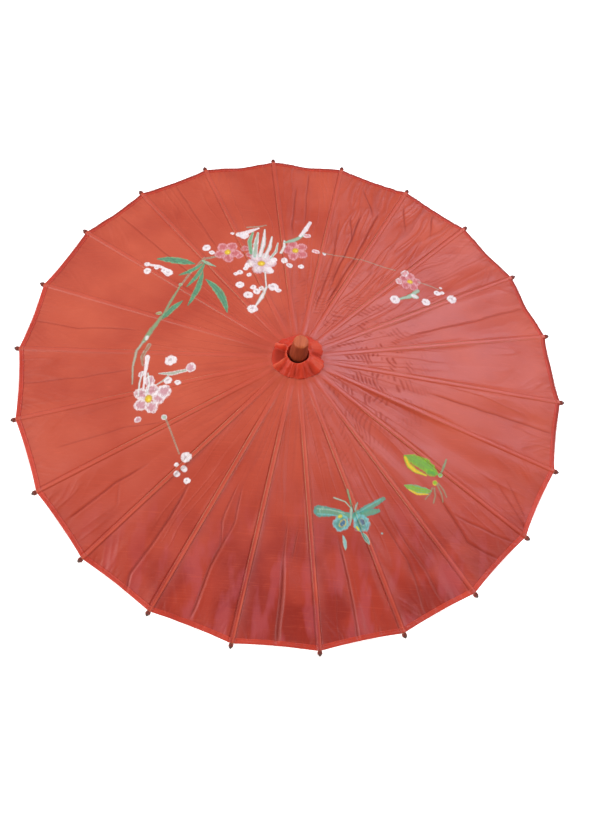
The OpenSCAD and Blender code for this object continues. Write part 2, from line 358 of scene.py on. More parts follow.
def mesh_area(points, quads):
    p = points.reshape(-1, 3)[quads] * MM
    first = np.cross(p[:, 1] - p[:, 0], p[:, 2] - p[:, 0])
    second = np.cross(p[:, 2] - p[:, 0], p[:, 3] - p[:, 0])
    return float(0.5 * (np.linalg.norm(first, axis=1) + np.linalg.norm(second, axis=1)).sum())


# ---- node helpers


class Nodes:
    """A new material, and the few kinds of node that the materials use."""

    def __init__(self, name):
        self.material = bpy.data.materials.new(name)
        self.material.use_nodes = True
        self.tree = self.material.node_tree
        self.tree.nodes.clear()

    def add(self, kind, inputs=None, **settings):
        node = self.tree.nodes.new("ShaderNode" + kind)
        for key, value in settings.items():
            setattr(node, key, value)
        for key, value in (inputs or {}).items():
            socket = node.inputs[key]
            if isinstance(value, bpy.types.NodeSocket):
                self.tree.links.new(value, socket)
            else:
                socket.default_value = value
        return node

    def mix(self, factor, a, b):
        a = a if isinstance(a, bpy.types.NodeSocket) else (*a, 1)
        b = b if isinstance(b, bpy.types.NodeSocket) else (*b, 1)
        return self.add("Mix", {0: factor, 6: a, 7: b}, data_type="RGBA").outputs[2]

    def ramp(self, value, low, high, to_low=0.0, to_high=1.0):
        node = self.add("MapRange", {0: value, 1: low, 2: high, 3: to_low, 4: to_high})
        return node.outputs[0]

    def plus(self, a, b):
        return self.add("Math", {0: a, 1: b}, operation="ADD").outputs[0]

    def times(self, a, b):
        return self.add("Math", {0: a, 1: b}, operation="MULTIPLY").outputs[0]

    def spot(self):
        """Where a point is, in the object's own frame."""
        return self.add("TexCoord").outputs["Object"]

    def grain(self, scale, detail):
        """Noise that is the same in all directions."""
        inputs = {"Vector": self.spot(), "Scale": scale, "Detail": detail, "Roughness": 0.5}
        return self.add("TexNoise", inputs).outputs[0]

    def fibres(self, scale, detail, rough=0.5):
        """Noise drawn out along an axis: the smaller its scale, the longer the fibres along it."""
        drawn = self.add("Mapping", {"Vector": self.spot(), "Scale": scale}).outputs[0]
        inputs = {"Vector": drawn, "Scale": 1.0, "Detail": detail, "Roughness": rough}
        return self.add("TexNoise", inputs).outputs[0]

    def bands(self, direction, scale, distortion, detail):
        """Parallel bands across an axis."""
        inputs = {"Vector": self.spot(), "Scale": scale, "Distortion": distortion, "Detail": detail}
        return self.add("TexWave", inputs, bands_direction=direction).outputs[1]

    def surface(self, colour, roughness, height=None, strength=0.3, distance=0.0005, **sockets):
        shader = self.add("BsdfPrincipled", {"Base Color": colour, "Roughness": roughness})
        for key, value in sockets.items():
            shader.inputs[key.replace("_", " ")].default_value = value
        if height is not None:
            bump = self.add("Bump", {"Height": height, "Strength": strength, "Distance": distance})
            self.tree.links.new(bump.outputs[0], shader.inputs["Normal"])
        out = self.add("OutputMaterial")
        self.tree.links.new(shader.outputs[0], out.inputs[0])
        return self.material


# ---- materials

# Painted shade colour, mixed in where the cloth is folded or creased and in a line beside the ribs.
PAINTED_SHADE = (0.28, 0.016, 0.002)  # in the folds
TIP_STAIN = (0.10, 0.055, 0.035)


def weave(n):
    """Fine satin threads along X, a tighter set across them, and a few thick slubs."""
    warp = n.bands("Y", 260.0, 0.6, 1.0)
    weft = n.bands("X", 420.0, 0.4, 1.0)
    slub = n.fibres((14, 620, 620), 2.0)
    threads = n.plus(n.times(warp, 0.6), n.times(weft, 0.3))
    return n.plus(threads, n.times(slub, 0.8)), slub


def satin_material(name, light, dark, wear_and_sheen, front=None, gloss=0.5):
    """Red satin: threads, cloudy shading and streaks, painted shade and painted highlights from the shade
    attribute, and on the cover painted shade toward the front, painted sheen streaks and the paint.
    """
    n = Nodes(name)
    height, slub = weave(n)
    cloud = n.grain(9.0, 4.0)
    streak = n.fibres((30, 240, 240), 3.0)
    colour = n.mix(n.ramp(cloud, 0.35, 0.68), dark, light)
    # Painted shade toward the front of the parasol, uneven in patches.
    if front:
        toward_front = {0: n.spot(), 1: (0.12, -0.99, 0)}
        toward = n.add("VectorMath", toward_front, operation="DOT_PRODUCT").outputs[1]
        patch = n.grain(15.0, 2.0)
        uneven = n.plus(toward, n.times(cloud, 0.16))
        deep = n.ramp(uneven, 0.17, 0.42)
        deepest = n.ramp(uneven, 0.25, 0.42)
        colour = n.mix(deep, colour, front)
        patched = n.times(deepest, n.ramp(patch, 0.42, 0.58, 0, 0.85))
        colour = n.mix(patched, colour, tuple(c * f for c, f in zip(front, (0.70, 0.45, 0.4))))
        # Painted sheen: pinkish streaks where the painted shade toward the front is darkest.
        sheen_fibres = n.fibres((40, 12, 20), 3.0)
        painted_sheen = n.times(deepest, n.ramp(sheen_fibres, 0.52, 0.62, 0, 0.36))
        colour = n.mix(painted_sheen, colour, (0.52, 0.09, 0.11))
    colour = n.mix(n.ramp(slub, 0.55, 0.8, 0, 0.22), colour, tuple(min(1, c * 1.3) for c in light))
    colour = n.mix(n.ramp(streak, 0.6, 0.78, 0, 0.25), colour, dark)
    roughness = n.ramp(cloud, 0.3, 0.7, 0.32, 0.46)
    # The shade attribute: its first part mixes in painted shade, its second a painted highlight in the
    # satin's highlight colour.
    shade = n.add("Attribute", attribute_name="shade")
    parts = n.add("SeparateXYZ", {0: shade.outputs["Vector"]}).outputs
    colour = n.mix(n.times(parts[0], 0.85), colour, PAINTED_SHADE)
    colour = n.mix(n.times(parts[1], 0.8), colour, wear_and_sheen)
    roughness = n.plus(roughness, n.times(parts[0], 0.3))
    if front:
        paint = n.add("Attribute", attribute_name="paint")
        back = n.add("NewGeometry").outputs["Backfacing"]
        shows = n.times(paint.outputs["Alpha"], n.ramp(back, 0, 1, 1, 0.35))
        colour = n.mix(shows, colour, paint.outputs["Color"])
        roughness = n.plus(roughness, n.times(shows, 0.3))
        height = n.plus(height, n.times(shows, 1.5))
    return n.surface(colour, roughness, height, 0.22, 0.0003, Sheen_Weight=0.06, Sheen_Roughness=0.35,
                     Sheen_Tint=(0.9, 0.6, 0.8, 1), Specular_IOR_Level=gloss)


def bamboo_material(name, light, dark, tone):
    """Split bamboo: long fibres, blotches, small dark pores, and ribs that are stained at their tips."""
    n = Nodes(name)
    fibre = n.fibres((60, 60, 900), 4.0, 0.6)
    blotch = n.grain(22.0, 3.0)
    pores = n.grain(700.0, 2.0)
    colour = n.mix(n.ramp(fibre, 0.35, 0.65), dark, light)
    colour = n.mix(n.ramp(blotch, 0.4, 0.75, 0, 0.5), colour, tone)
    colour = n.mix(n.ramp(pores, 0.62, 0.72, 0, 0.5), colour, tuple(0.5 * c for c in dark))
    flat = n.add("VectorMath", {0: n.spot(), 1: (1, 1, 0)}, operation="MULTIPLY").outputs[0]
    reach = n.add("VectorMath", {0: flat}, operation="LENGTH").outputs["Value"]
    wear_and_sheen = n.plus(reach, n.times(blotch, 0.003))
    colour = n.mix(n.ramp(wear_and_sheen, (TIP_R - 6) * MM, (TIP_R - 3) * MM), colour, TIP_STAIN)
    return n.surface(colour, n.ramp(blotch, 0.3, 0.7, 0.45, 0.65), fibre, 0.35, 0.0004)


def wood_material(name, light, dark, rough, coat):
    """Turned wood: grain along the shaft, fine lathe rings, darker patches."""
    n = Nodes(name)
    along = n.fibres((220, 220, 12), 5.0, 0.6)
    rings = n.bands("Z", 210.0, 1.2, 2.0)
    colour = n.mix(n.ramp(along, 0.32, 0.68), dark, light)
    colour = n.mix(n.ramp(n.grain(30.0, 3.0), 0.45, 0.75, 0, 0.45), colour, dark)
    height = n.plus(along, n.times(rings, 0.25))
    return n.surface(colour, rough, height, 0.25, 0.0003, Coat_Weight=coat, Coat_Roughness=0.25)


def head_material():
    """The turned head: darker red-brown on the sides and lighter brown on the top."""
    n = Nodes("head_wood")
    z = n.add("SeparateXYZ", {0: n.spot()}).outputs[2]
    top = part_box("top_notch")[1][2]
    along = n.fibres((230, 230, 18), 5.0, 0.6)
    wear_and_sheen = n.grain(140.0, 3.0)
    side = n.mix(n.ramp(along, 0.3, 0.7), (0.20, 0.030, 0.010), (0.36, 0.065, 0.024))
    across = n.fibres((500, 60, 60), 4.0)
    end = n.mix(n.ramp(across, 0.35, 0.65), (0.46, 0.085, 0.026), (0.60, 0.145, 0.048))
    top_line = n.plus(z, n.times(wear_and_sheen, 0.003))
    colour = n.mix(n.ramp(top_line, top - 0.0035, top + 0.0005), side, end)
    rings = n.bands("Z", 190.0, 1.0, 2.0)
    return n.surface(colour, n.ramp(wear_and_sheen, 0.3, 0.7, 0.35, 0.55), n.plus(along, rings), 0.2, 0.0003,
                     Coat_Weight=0.05, Coat_Roughness=0.3, Specular_IOR_Level=0.3)


def steel_material(name, base, rough):
    """Drawn steel wire or strip: fine scratches and dull patches."""
    n = Nodes(name)
    scratch = n.fibres((300, 300, 2500), 3.0)
    dull = n.grain(120.0, 4.0)
    colour = n.mix(n.ramp(dull, 0.4, 0.75, 0, 0.6), base, tuple(0.55 * c for c in base))
    return n.surface(colour, n.ramp(dull, 0.3, 0.7, rough, rough + 0.25), scratch, 0.15, 0.0002, Metallic=1.0)


def thread_material(name, light, dark):
    """Twisted thread: slanting plies and loose fibre."""
    n = Nodes(name)
    ply = n.bands("DIAGONAL", 900.0, 1.5, 1.0)
    fuzz = n.grain(1500.0, 2.0)
    colour = n.mix(ply, dark, light)
    colour = n.mix(n.ramp(fuzz, 0.5, 0.75, 0, 0.4), colour, light)
    return n.surface(colour, 0.85, n.plus(ply, fuzz), 0.5, 0.0003, Sheen_Weight=0.2)


# ---- painted flowers and butterflies

PINK = (0.58, 0.15, 0.16)
BLUSH = (0.74, 0.36, 0.37)
WHITE = (0.86, 0.80, 0.78)
SHADE = (0.50, 0.34, 0.34)
YELLOW = (0.80, 0.56, 0.02)
GREEN = (0.03, 0.27, 0.15)
FERN = (0.14, 0.43, 0.22)
STEM = (0.30, 0.24, 0.14)
WING = (0.11, 0.36, 0.22)
MINT = (0.38, 0.55, 0.42)
TEAL = (0.05, 0.33, 0.27)
AQUA = (0.20, 0.55, 0.55)
LIME = (0.22, 0.50, 0.02)
strokes = []

# The drawing is in plan, in mm from the pole: x to rib 01, and y to the back.


def stroke(points, colour, edge=None, opacity=0.95):
    """A brush stroke through points (x, y, width), with its colours in the middle and at the edge."""
    points = np.asarray(points, float)
    strokes.append((points[:, :2], points[:, 2], np.array(colour), np.array(edge or colour), opacity))


def dab(x, y, long, short, angle, colour, edge=None, opacity=0.95):
    """A short fat touch of the brush, as a stroke that swells in its middle."""
    a = radians(angle)
    d = np.array([cos(a), sin(a)]) * max(long - short, 0.05)
    c = np.array([x, y])
    stroke([(*(c - d), 0.85 * short), (*c, short), (*(c + d), 0.85 * short)], colour, edge, opacity)


def leaf(x0, y0, x1, y1, width, bend, colour=GREEN, edge=FERN):
    a, b = np.array([x0, y0], float), np.array([x1, y1], float)
    normal = np.array([-(b - a)[1], (b - a)[0]])
    s = np.linspace(0, 1, 9)[:, None]
    line = a + (b - a) * s + normal * bend * 4 * s * (1 - s)
    widths = width * np.sin(np.pi * np.clip(s * 0.94 + 0.03, 0, 1)) ** 0.8
    stroke(np.hstack([line, widths]), colour, edge)
    stroke(np.hstack([line, 0 * s + 0.45])[1:-1], edge, None, 0.7)


def blossom(x, y, size, turn, petal, rim, petals=5):
    """Five round petals with pale rims, and a yellow middle with a few stamens."""
    for i in range(petals):
        a = radians(turn + i * 360 / petals)
        px, py = x + 0.62 * size * cos(a), y + 0.62 * size * sin(a)
        dab(px, py, 0.50 * size, 0.42 * size, degrees(a), petal, rim, 0.9)
    for i in range(2 * petals):
        a = radians(turn + 17 + i * 180 / petals)
        ends = [(x + reach * size * cos(a), y + reach * size * sin(a), 0.035 * size) for reach in (0.2, 0.5)]
        stroke(ends, rim, None, 0.6)
    dab(x, y, 0.32 * size, 0.25 * size, turn, YELLOW, (0.60, 0.34, 0.02), 1.0)
    dab(x + 0.05 * size, y - 0.04 * size, 0.09 * size, 0.07 * size, turn, (0.9, 0.75, 0.1), None, 1.0)


def bud(x, y, size, angle=0.0):
    dab(x, y, 1.25 * size, size, angle, WHITE, WHITE, 1.0)
    dab(x - 0.15 * size, y + 0.1 * size, 0.55 * size, 0.42 * size, angle, SHADE, WHITE, 0.7)


def buds(*places):
    for place in places:
        bud(*place)


def draw_branch():
    """The long curved branch on the left, with leaves, buds and three blossoms."""
    stroke([(-116, 186, 1.6), (-150, 174, 2.2), (-168, 147, 1.8), (-181, 119, 1.4)], STEM, MINT, 0.75)
    stroke([(-181, 119, 1.4), (-192, 90, 2.6), (-200, 66, 1.6)], FERN, STEM, 0.8)
    stroke([(-200, 66, 2), (-214, 38, 4.2), (-223, 18, 3.4)], FERN, STEM, 0.8)
    stroke([(-223, 18, 2.2), (-231, 2, 2.4), (-233, -24, 1.8), (-230, -52, 1.2)], MINT, STEM, 0.75)
    stroke([(-214, 12, 3), (-222, -8, 2.4), (-219, -22, 1.2)], STEM, MINT, 0.7)
    dab(-181, 122, 4, 2.8, 60, (0.36, 0.34, 0.10), MINT, 0.9)
    dab(-207, 68, 5, 3, 20, (0.36, 0.34, 0.10), MINT, 0.9)
    dab(-219, 24, 5, 3.2, 80, WHITE, MINT, 0.9)
    leaf(-164, 163, -222, 170, 6.4, -0.04)
    leaf(-151, 165, -186, 140, 3.4, 0.06)
    leaf(-148, 168, -172, 118, 3.4, 0.05)
    leaf(-144, 134, -107, 74, 6.2, 0.09)
    leaf(-150, 150, -166, 84, 4.6, 0.05)
    leaf(-174, 92, -201, 56, 4.6, -0.05)
    leaf(-131, 160, -155, 172, 2.8, 0.05, MINT, FERN)
    blossom(-116, 191, 20, 62, PINK, BLUSH)
    blossom(-12, 206, 20, 40, PINK, BLUSH)
    for x, y, w in ((-90, 200, 8), (-97, 184, 7), (-82, 188, 7)):
        dab(x, y, w, 0.7 * w, 30, PINK, BLUSH, 0.85)
    blossom(-63, 173, 22, 10, WHITE, (0.66, 0.44, 0.46), 6)
    dab(-83, 166, 7, 5, 60, WHITE)
    dab(-48, 160, 7, 5, 120, WHITE)
    dab(-44, 182, 6, 5, 20, WHITE)
    stroke([(-74, 186, 3.6), (-74, 212, 4), (-72, 236, 1.6)], MINT, WHITE)
    stroke([(-66, 188, 3), (-62, 216, 3.6), (-62, 244, 1.4)], WHITE, MINT)
    stroke([(-58, 186, 2.6), (-52, 208, 3.2), (-50, 230, 1.4)], WHITE, MINT)
    stroke([(-50, 184, 2), (-42, 200, 2.4), (-40, 218, 1)], MINT, WHITE)
    stroke([(-80, 192, 3), (-84, 216, 3.8), (-80, 236, 1.6)], FERN, MINT)
    stroke([(-102, 228, 4.6), (-88, 236, 3.8), (-72, 246, 1.6)], WHITE)
    stroke([(-90, 246, 1.2), (-70, 250, 1.2), (-60, 254, 0.8)], STEM, MINT, 0.8)
    dab(-94, 227, 9, 6.4, 20, WHITE)
    buds((-112, 230, 3), (-149, 197, 6.4, 50), (-140, 188, 4.4))
    stroke([(-34, 198, 2.4), (-30, 210, 2.4), (-30, 222, 1.8)], WHITE, MINT)
    leaf(-32, 218, 2, 244, 3.4, -0.06, MINT, FERN)
    stroke([(-6, 238, 2.4), (2, 252, 3.6), (9, 270, 2.8)], WHITE)
    dab(5, 240, 7, 4.4, 10, BLUSH, WHITE)
    buds((-28, 182, 5.4, -50), (-20, 173, 4.8, -30), (-2, 174, 4.2))
    stroke([(-56, 156, 1.3), (-54, 138, 1.3), (-52, 124, 1.3)], WHITE, MINT)
    stroke([(-52, 126, 2), (-58, 106, 3.2), (-66, 88, 1.6)], WHITE, MINT)
    buds((-94, 152, 4.4), (-86, 160, 3.8, 20), (-100, 148, 3.4), (-80, 148, 3.6, 60), (-92, 127, 6.4, 5),
         (-78, 108, 6.6, 10), (-66, 116, 5.4, -40), (-72, 124, 4.4, 30), (-42, 128, 7.6), (-34, 122, 4),
         (-70, 82, 7.4), (-60, 122, 4, 60))
    stroke([(-236, 158, 2), (-218, 156, 2.4), (-200, 148, 2)], WHITE)
    buds((-236, 158, 4.4), (-234, 145, 5.2), (-221, 153, 3.8), (-208, 148, 5), (-202, 144, 6.8))


def draw_left_cluster():
    """The cluster at the branch's end, and the string of buds below it."""
    rose = (0.62, 0.34, 0.38)
    blossom(-204, -74, 22, 80, rose, WHITE)
    dab(-184, -62, 12, 10, 20, rose, WHITE)
    dab(-206, -46, 10, 7, 80, rose, WHITE)
    dab(-219, -36, 6, 4, 60, rose, WHITE)
    stroke([(-213, -62, 1.4), (-214, -36, 2.2), (-214, -8, 3.4)], WHITE)
    stroke([(-207, -66, 1.2), (-206, -50, 1.4), (-210, -34, 1.2)], WHITE, MINT)
    stroke([(-219, -70, 1.2), (-220, -50, 1.4), (-218, -32, 1.2)], WHITE, MINT)
    bud(-180, -12, 8, 40)
    dab(-150, -22, 9, 7, 60, rose, WHITE)
    stroke([(-194, -34, 1), (-176, -33, 3.2), (-157, -27, 2.6)], MINT, WHITE, 0.85)
    buds((-180, -44, 5.6, 30), (-166, -47, 4.4))
    stroke([(-196, -52, 0.8), (-188, -46, 1.2), (-180, -36, 1)], MINT, WHITE, 0.8)
    dab(-215, -106, 6, 4.8, 40, rose, WHITE)
    dab(-179, -101, 5, 4, -30, MINT, WHITE)
    stroke([(-176, -104, 1.1), (-164, -128, 1), (-152, -153, 0.9)], STEM, MINT, 0.75)
    buds((-142, -158, 7.4, 70), (-154, -169, 3.2), (-143, -174, 4.2), (-152, -182, 4), (-137, -190, 4.6))


def draw_right_spray():
    """The thin stem that runs to the right, with a blossom and buds at its end."""
    dab(20, 208, 7, 4, -15, BLUSH, WHITE)
    bud(33, 204, 2.6)
    stroke([(30, 206, 0.9), (66, 206, 0.8), (106, 200, 0.8), (146, 192, 0.8)], MINT, STEM, 0.62)
    blossom(169, 173, 17, 15, PINK, BLUSH)
    dab(161, 188, 8, 6, 60, BLUSH, WHITE)
    dab(151, 170, 7, 5.2, 110, BLUSH, WHITE)
    stroke([(152, 136, 1.8), (168, 144, 3.6), (182, 158, 3)], MINT, FERN)
    bud(145, 133, 7.4, 20)
    dab(176, 146, 8, 5, -20, WHITE, MINT)
    bud(194, 138, 6.4, -30)
    stroke([(182, 176, 0.9), (204, 172, 0.9), (216, 168, 0.9)], MINT, STEM, 0.65)
    buds((213, 160, 5.2), (221, 162, 3.2), (219, 172, 2.2), (236, 152, 7.4))


def draw_butterfly():
    """A blue-green butterfly seen from above, on the front panels."""
    stroke([(86, -219, 4), (66, -216, 5.6), (46, -217, 8.4)], WING, TEAL)
    stroke([(50, -211, 1.2), (47, -216, 1.6), (49, -222, 1.2)], WING, MINT)
    stroke([(80, -216, 0.7), (60, -213, 0.9), (42, -214, 0.7)], MINT, None, 0.7)
    stroke([(80, -221, 0.7), (60, -220, 0.9), (43, -221, 0.7)], AQUA, None, 0.7)
    stroke([(95, -217, 4.4), (114, -204, 4.4), (133, -190, 2.8)], WING, TEAL)
    stroke([(95, -220, 4.8), (112, -212, 5.2), (126, -208, 3)], WING, TEAL)
    stroke([(98, -214, 0.6), (114, -202, 0.8), (130, -191, 0.5)], AQUA, None, 0.7)
    dab(76, -230, 14, 11, 60, TEAL, AQUA)
    dab(78, -230, 7, 4.6, 60, (0.05, 0.12, 0.3), YELLOW, 0.75)
    dab(74, -221, 4, 2.8, 40, YELLOW, LIME)
    dab(104, -228, 14, 11, 120, TEAL, AQUA)
    dab(105, -226, 6.5, 4.4, 120, (0.08, 0.08, 0.22), MINT, 0.75)
    dab(99, -235, 4.2, 1.8, 130, YELLOW, LIME)
    stroke([(89, -208, 2.2), (89, -222, 2.4), (88, -232, 1)], MINT, TEAL)
    stroke([(88, -208, 0.9), (80, -200, 1), (64, -196, 1.2)], MINT, STEM)
    stroke([(89, -207, 0.9), (86, -196, 1.2), (82, -184, 1.2)], FERN, STEM)
    stroke([(94, -211, 1), (95, -205, 1.6), (97, -200, 0.8)], MINT, TEAL)
    leaf(79, -246, 84, -266, 2.6, 0.05, AQUA, MINT)
    leaf(104, -240, 116, -256, 3, 0.05, TEAL, MINT)
    dab(133, -238, 1.8, 1.4, 0, AQUA, MINT)


def draw_hopper():
    """A yellow-green winged insect, to the right of the butterfly."""
    leaf(210, -145, 161, -125, 9.4, -0.06, (0.14, 0.42, 0.05), LIME)
    stroke([(162, -127, 2.4), (168, -138, 3.6), (178, -145, 3.2), (193, -149, 1.4)], YELLOW, LIME)
    dab(200, -144, 9, 5.4, -10, (0.08, 0.36, 0.05), LIME, 0.85)
    leaf(201, -171, 162, -168, 6.4, 0.05, LIME, FERN)
    stroke([(168, -173, 0.8), (180, -178, 1.6), (196, -176, 0.8)], YELLOW)
    dab(214, -146, 4, 3, 40, LIME, MINT)
    stroke([(214, -144, 1), (219, -132, 2), (223, -120, 1.2)], FERN, STEM, 0.85)
    dab(206, -158, 4.6, 3.4, 70, LIME, YELLOW)
    for x0, y0, x1, y1 in ((202, -166, 192, -184), (205, -166, 204, -188), (209, -160, 218, -184),
                           (211, -158, 223, -176)):
        knee = (0.5 * (x0 + x1) + 2, 0.5 * (y0 + y1), 1)
        stroke([(x0, y0, 1), knee, (x1, y1, 0.8)], STEM, FERN, 0.8)


draw_branch()
draw_left_cluster()
draw_right_spray()
draw_butterfly()
draw_hopper()


def paint_at(x, y):
    """Colour and cover of the paint at places in plan, in mm."""
    shape = x.shape
    x, y = x.ravel(), y.ravel()
    rgba = np.zeros((len(x), 4))
    ripple = 0.10 * noise(x / 1.6, y / 1.6, 91) + 0.10 * noise(x / 4.5, y / 4.5, 92)
    grainy = noise(x / 0.9, y / 3.5, 93)
    for points, widths, colour, edge, opacity in strokes:
        reach = widths.max() * 1.4 + 1
        low, high = points.min(0) - reach, points.max(0) + reach
        inside = np.flatnonzero((x > low[0]) & (x < high[0]) & (y > low[1]) & (y < high[1]))
        if not len(inside):
            continue
        px, py = x[inside], y[inside]
        best = np.full(len(inside), 9.0)
        for a, b, width, next_width in zip(points, points[1:], widths, widths[1:]):
            d = b - a
            dx, dy = px - a[0], py - a[1]
            s = np.clip((dx * d[0] + dy * d[1]) / max(d @ d, 1e-9), 0, 1)
            far = np.hypot(dx - s * d[0], dy - s * d[1])
            best = np.minimum(best, far / (width + (next_width - width) * s))
        best = best + ripple[inside]
        soft = min(max(0.12, 0.55 / widths.mean()), 0.9)  # thin strokes have softer edges
        cover = opacity * (1 - smooth(best, 0.98 - soft, 0.98 + soft)) * (0.93 + 0.07 * grainy[inside])
        rim = smooth(best + 0.25 * grainy[inside], 0.35, 0.95)[:, None]
        tone = colour * (1 - rim) + edge * rim
        tone = tone * (1 + 0.10 * grainy[inside])[:, None]
        old = rgba[inside]
        new = cover + old[:, 3] * (1 - cover)
        share = np.where(new > 1e-6, cover / np.maximum(new, 1e-6), 0)[:, None]
        rgba[inside, :3] = old[:, :3] * (1 - share) + np.clip(tone, 0, 1) * share
        rgba[inside, 3] = new
    return rgba.reshape(*shape, 4)


# ---- the cover


def add_colour(piece, name, values):
    layer = piece.data.color_attributes.new(name, "FLOAT_COLOR", "POINT")
    layer.data.foreach_set("color", values.astype(np.float32).ravel())


def add_paint(piece, points):
    """The painted decoration, as a colour on the mesh."""
    add_colour(piece, "paint", paint_at(points[..., 0], points[..., 1]))


def add_shade(piece, shade):
    """Painted shade and painted highlights, as a colour on the mesh: red for painted shade, green for painted
    highlights.
    """
    shade = np.asarray(shade, float).ravel()
    values = np.stack([np.maximum(shade, 0), np.maximum(-shade, 0), 0 * shade, 0 * shade + 1], 1)
    add_colour(piece, "shade", values)


def rows_for(k, side, fine):
    """The places of the rows of both halves of a panel: close together where there is paint."""
    spacing = 2.6
    ends = np.arange(PANEL_IN, HEM_IN, spacing)
    first = k if side > 0 else (k - 2) % RIBS + 1
    has = np.zeros(len(ends), bool)
    for rib, half in ((first, 1), (first % RIBS + 1, -1)):
        p = panel_point(rib, half, ends[:, None], np.linspace(0, 1, 24))
        has |= paint_at(p[..., 0], p[..., 1])[..., 3].max(1) > 0.02
    painted = np.convolve(has, np.ones(5), "same") > 0
    rows, r = [], PANEL_IN
    while r < HEM_IN - 0.6:
        rows.append(r)
        here = painted[min(int((r - PANEL_IN) / spacing), len(painted) - 1)]
        r += fine if here else 1.3 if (r < 200) else 2.4
    return np.array(rows + [HEM_IN])


def make_panel(k, side, material):
    rows = rows_for(k, side, 1.05)
    columns = 54
    c = np.linspace(0, 1, columns) ** 1.3
    points = panel_point(k, side, rows[:, None], c)
    shade = fold_shade(k, side, *panel_place(rows[:, None], c))
    quads = grid_faces(len(rows), columns)
    piece = make_piece(half_name("panel", k, side), points, quads, material, "red_satin")
    add_paint(piece, points)
    add_shade(piece, shade)
    width = float(crease_t(HEM_IN) - STRIP) * MM
    length = float(rows[-1] - rows[0]) * MM / cos(SLOPE)
    return piece, width, length, mesh_area(points, quads)


# The hem's section, a doubled band with a rolled edge: distance outwards and height over the cloth
HEM_PROFILE = np.array([
    (-0.25, -0.15), (-0.1, 0.5), (0.5, 0.75), (1.4, 0.6), (2.2, 0.42), (3.0, 0.62), (HEM - 2.8, 0.74),
    (HEM - 1.4, 0.7), (HEM - 0.5, 0.75), (HEM, 0.35), (HEM + 0.1, -0.2), (HEM - 0.3, -0.75),
    (HEM - 1.2, -0.85), (2.2, -0.7), (0.2, -0.7),
])
STITCH, STITCH_GAP = 2.1, 3.6  # a stitch's length, and the distance from one to the next


def tube(line, radius, sides=6):
    """The points and faces of a thin tube round a line of points."""
    tangent = np.gradient(line, axis=0)
    tangent /= np.linalg.norm(tangent, axis=1)[:, None]
    n = np.cross(tangent, (0, 0, 1.0))
    n /= np.maximum(np.linalg.norm(n, axis=1), 1e-6)[:, None]
    b = np.cross(n, tangent)
    a = np.linspace(0, 2 * pi, sides, endpoint=False)[:, None]
    ring = np.cos(a) * n[:, None] + np.sin(a) * b[:, None]
    return line[:, None] + radius * ring, grid_faces(len(line), sides, closed=True)


def join(parts):
    """Several (points, quads) as one."""
    all_points, all_quads, start = [], [], 0
    for points, quads in parts:
        points = points.reshape(-1, 3)
        all_points.append(points)
        all_quads.append(quads + start)
        start += len(points)
    return np.concatenate(all_points), np.concatenate(all_quads)


def make_hem(k, side, material):
    """Half of a panel's hem, with its stitches, and the thread outside it that runs from tip to tip."""
    share = np.linspace(0, 1, 40) ** 1.2
    lines = []
    for out, rise in HEM_PROFILE:
        line = panel_point(k, side, HEM_IN + out, share)
        line[:, 2] += rise + 0.12 * noise(share * 11, out, k * 2 + side)
        lines.append(line)
    points = np.stack(lines, 1)
    parts = [(points, grid_faces(len(share), len(lines), closed=True))]
    # Painted shade on the outer edge of the hem, toward the back.
    back_edge_shade = smooth((0.35 * points[..., 0] + 0.94 * points[..., 1]) / TIP_R, -0.05, 0.30)
    shade = [back_edge_shade * smooth(HEM_PROFILE[:, 0], HEM - 5.2, HEM - 2.6)]
    end = crease_t(HEM_IN) - STRIP
    for at in np.arange(2.0, end - 2, STITCH_GAP):
        line = panel_point(k, side, HEM_IN + 2.2, np.linspace(at, at + STITCH, 4) / end)
        line[:, 2] += 0.42 + 0.22 * np.sin(np.linspace(0.1, pi - 0.1, 4))
        parts.append(tube(line, 0.22, 5))
        shade.append(np.zeros(4 * 5))
    piece = make_piece(half_name("hem", k, side), *join(parts), material, "hem_cloth", True)
    add_shade(piece, np.concatenate([part.ravel() for part in shade]))
    share = np.linspace(0, 1, 30)
    at_rib, sag = 4.6, 3.6  # the rim thread's distance from the hem at a rib, and its sag
    line = panel_point(k, side, HEM_OUT + at_rib - sag * (1 - (1 - share) ** 3), share)
    line[:, 2] -= 1.0
    thread = make_piece(half_name("rim_thread", k, side), *tube(line, 0.32), materials["rim_thread"],
                        "rim_thread", True)
    return piece, thread


def make_cover(k, material):
    """The cloth over rib k: its sector of the crown, the strip along the rib, and the hem over the tip."""
    step = 1.2
    crown, rest = np.linspace(NECK_R, 30, 26), np.arange(30 + step, HEM_IN - 0.5, step)
    rows = np.concatenate([crown, rest, [HEM_IN - 0.25]])
    band = HEM_IN + np.array([-0.1, 0.5, 1.4, 2.2, 3.0, HEM - 1.4, HEM - 0.5, HEM, HEM + 0.1])
    rise = np.array([0.5, 0.75, 0.6, 0.42, 0.62, 0.7, 0.75, 0.35, -0.6])
    along = np.concatenate([rows, band])
    lift = np.concatenate([np.zeros(len(rows)), rise])
    q = np.linspace(-1, 1, 13)[None, :]
    t = np.abs(q) * np.minimum(STRIP, crease_t(along))[:, None]
    place = along[:, None] - t * TAN_HALF
    points = np.where((q > 0)[..., None], cloth_point(k, 1, place, t), cloth_point(k, -1, place, t))
    shade = np.where(q > 0, fold_shade(k, 1, place, t), fold_shade(k, -1, place, t))
    points[..., 2] += lift[:, None] + 0.12 * (1 - q**2) * smooth(along, 30, 60)[:, None]
    quads = grid_faces(len(along), q.shape[1])
    piece = make_piece(f"cover_{k:02d}", points, quads, material, "red_satin")
    add_paint(piece, points)
    add_shade(piece, shade)
    return piece, mesh_area(points, quads)


